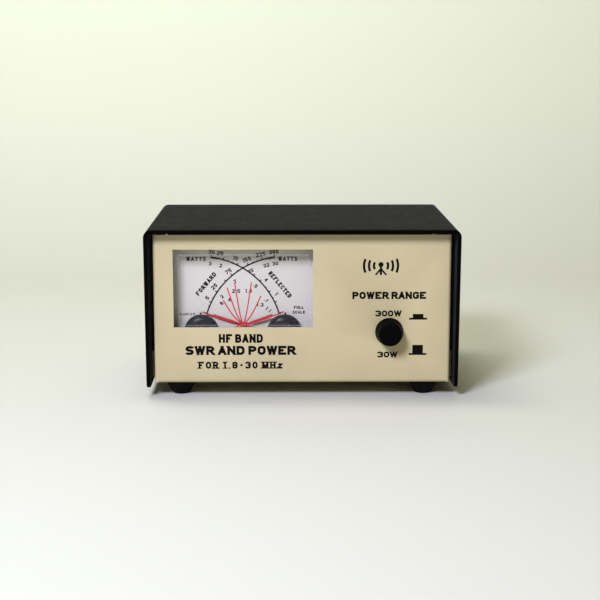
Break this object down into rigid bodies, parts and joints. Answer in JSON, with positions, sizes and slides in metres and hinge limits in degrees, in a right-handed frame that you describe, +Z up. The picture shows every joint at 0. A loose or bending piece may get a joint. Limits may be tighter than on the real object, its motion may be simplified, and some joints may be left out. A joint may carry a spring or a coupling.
{
  "type": "swr meter",
  "caption": "Bench-top cross-needle SWR and power meter: black cover over a cream chassis, window meter with two needles, push button, rear coaxial sockets.",
  "frame": {"origin": "middle of the footprint, on the table under the feet", "axes": "+X to the right of the front panel, +Y to the rear connectors, +Z up"},
  "size_m": [0.1686, 0.1287, 0.09],
  "materials": {
    "cover_paint": "fine wrinkle texture, satin black",
    "panel_paint": "smooth satin cream, printed in black",
    "black_screw": "blackened steel",
    "foot_rubber": "matte moulded rubber",
    "zinc_steel": "zinc plated",
    "meter_moulding": "moulded",
    "clear_window": "clear polished acrylic",
    "dial_white": "matte white with printed scales",
    "brass": "turned and stamped",
    "black_plastic": "moulded",
    "lamp_glass": "clear bulb",
    "soft_iron": "turned soft iron and magnet alloy",
    "needle_red": "red enamel",
    "copper": "enamelled copper",
    "button_black": "satin moulded",
    "white_plastic": "natural white",
    "spring_steel": "drawn wire",
    "switch_plastic": "moulded",
    "nickel": "nickel plated",
    "contact_gold": "gold flashed",
    "board_green": "solder-masked laminate",
    "ferrite": "sintered ferrite",
    "part_resin": "dipped and lacquered",
    "wire_jacket": "PVC insulation in several colours"
  },
  "bodies": {
    "housing": {"cover": "cover_paint", "chassis": "panel_paint", "cover_screws": "black_screw", "dial_screws": "black_screw", "feet": "foot_rubber", "foot_screws": "zinc_steel", "panel_studs": "zinc_steel", "meter_nuts": "zinc_steel", "switch_bracket": "zinc_steel", "switch_screws": "zinc_steel", "connector_screws": "zinc_steel", "connector_nuts": "zinc_steel", "dc_jack_nut": "zinc_steel", "board_screws": "zinc_steel", "meter_case": "meter_moulding", "meter_window": "clear_window", "dial_plate": "dial_white", "meter_terminals": "brass", "movement_bridges": "brass", "jewel_screws": "brass", "forward_hairsprings": "brass", "reflected_hairsprings": "brass", "board_standoffs": "brass", "lamp_holder": "black_plastic", "forward_pivot_cap": "black_plastic", "reflected_pivot_cap": "black_plastic", "dc_jack_body": "black_plastic", "lamp": "lamp_glass", "movement_yokes": "soft_iron", "magnet_cores": "soft_iron", "through_line": "copper", "toroid_winding": "copper", "connector_insulators": "white_plastic", "line_sleeve": "white_plastic", "switch_spring": "spring_steel", "switch_pins": "spring_steel", "switch_body": "switch_plastic", "trimmer_bodies": "switch_plastic", "tx_connector_shell": "nickel", "antenna_connector_shell": "nickel", "dc_jack_pin": "nickel", "tx_connector_contact": "contact_gold", "antenna_connector_contact": "contact_gold", "coupler_board": "board_green", "toroid_core": "ferrite", "resistors": "part_resin", "diodes": "part_resin", "capacitors": "part_resin", "wiring": "wire_jacket"},
    "forward_movement": {"forward_needle": "needle_red", "forward_coil": "copper"},
    "reflected_movement": {"reflected_needle": "needle_red", "reflected_coil": "copper"},
    "forward_zero": {"forward_zero_lever": "brass"},
    "reflected_zero": {"reflected_zero_lever": "brass"},
    "range_switch": {"range_button": "button_black", "switch_plunger": "white_plastic", "switch_clips": "brass"},
    "forward_calibration": {"forward_trimmer_rotor": "white_plastic"},
    "reflected_calibration": {"reflected_trimmer_rotor": "white_plastic"}
  },
  "joints": [
    {"name": "forward_needle_swing", "type": "hinge", "parent": "housing", "child": "forward_movement", "pos_m": [-0.0094, -0.0459, 0.0306], "axis": [0, 1, 0], "range_deg": [0, 66], "stiffness_Nm_per_rad": 0.00002, "deforming": ["forward_hairsprings"]},
    {"name": "reflected_needle_swing", "type": "hinge", "parent": "housing", "child": "reflected_movement", "pos_m": [-0.0536, -0.0459, 0.0306], "axis": [0, -1, 0], "range_deg": [0, 66], "stiffness_Nm_per_rad": 0.00002, "deforming": ["reflected_hairsprings"]},
    {"name": "forward_zero_adjust", "type": "hinge", "parent": "housing", "child": "forward_zero", "pos_m": [-0.0094, -0.0459, 0.0306], "axis": [0, 1, 0], "range_deg": [-10, 10]},
    {"name": "reflected_zero_adjust", "type": "hinge", "parent": "housing", "child": "reflected_zero", "pos_m": [-0.0536, -0.0459, 0.0306], "axis": [0, 1, 0], "range_deg": [-10, 10]},
    {"name": "range_button_press", "type": "slide", "parent": "housing", "child": "range_switch", "axis": [0, 1, 0], "range_m": [0, 0.004], "stiffness_N_per_m": 600, "deforming": ["switch_spring"]},
    {"name": "forward_calibration_turn", "type": "hinge", "parent": "housing", "child": "forward_calibration", "pos_m": [0.036, 0.0254, 0.0228], "axis": [0, 0, 1], "range_deg": [-130, 130]},
    {"name": "reflected_calibration_turn", "type": "hinge", "parent": "housing", "child": "reflected_calibration", "pos_m": [-0.036, 0.0254, 0.0228], "axis": [0, 0, 1], "range_deg": [-130, 130]}
  ]
}
